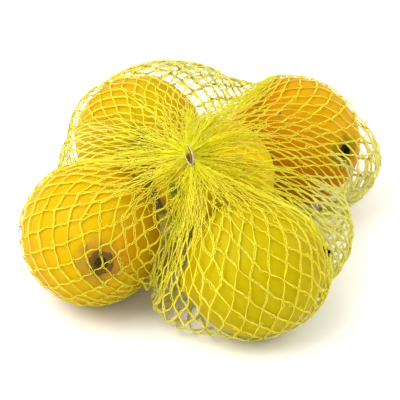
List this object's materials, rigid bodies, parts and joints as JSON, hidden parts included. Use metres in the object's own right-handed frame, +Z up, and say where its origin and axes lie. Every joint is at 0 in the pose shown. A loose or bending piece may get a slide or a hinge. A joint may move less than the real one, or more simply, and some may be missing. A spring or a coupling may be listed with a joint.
{
  "type": "net of lemons",
  "caption": "Knitted net bag filled with round lemons, resting on small flat spots, with its gathered neck and a crimped clip on top; the net bulges over the fruit and dips between them.",
  "frame": {"origin": "centre of the bag's box in X and Y, on the surface it rests on", "axes": "+Z up, +X to the right and +Y to the back as the bag lies with its gathered end up"},
  "size_m": [0.1639, 0.1762, 0.0721],
  "materials": {
    "net": "knitted yellow polyethylene netting, half glossy",
    "clip": "crimped aluminium strip",
    "lemon_peel": "pored waxy lemon peel",
    "calyx": "dry dark calyx and stem scar"
  },
  "bodies": {
    "root": {"net_bag": "net", "clip_top": "clip", "clip_base": "clip"}
  },
  "joints": []
}
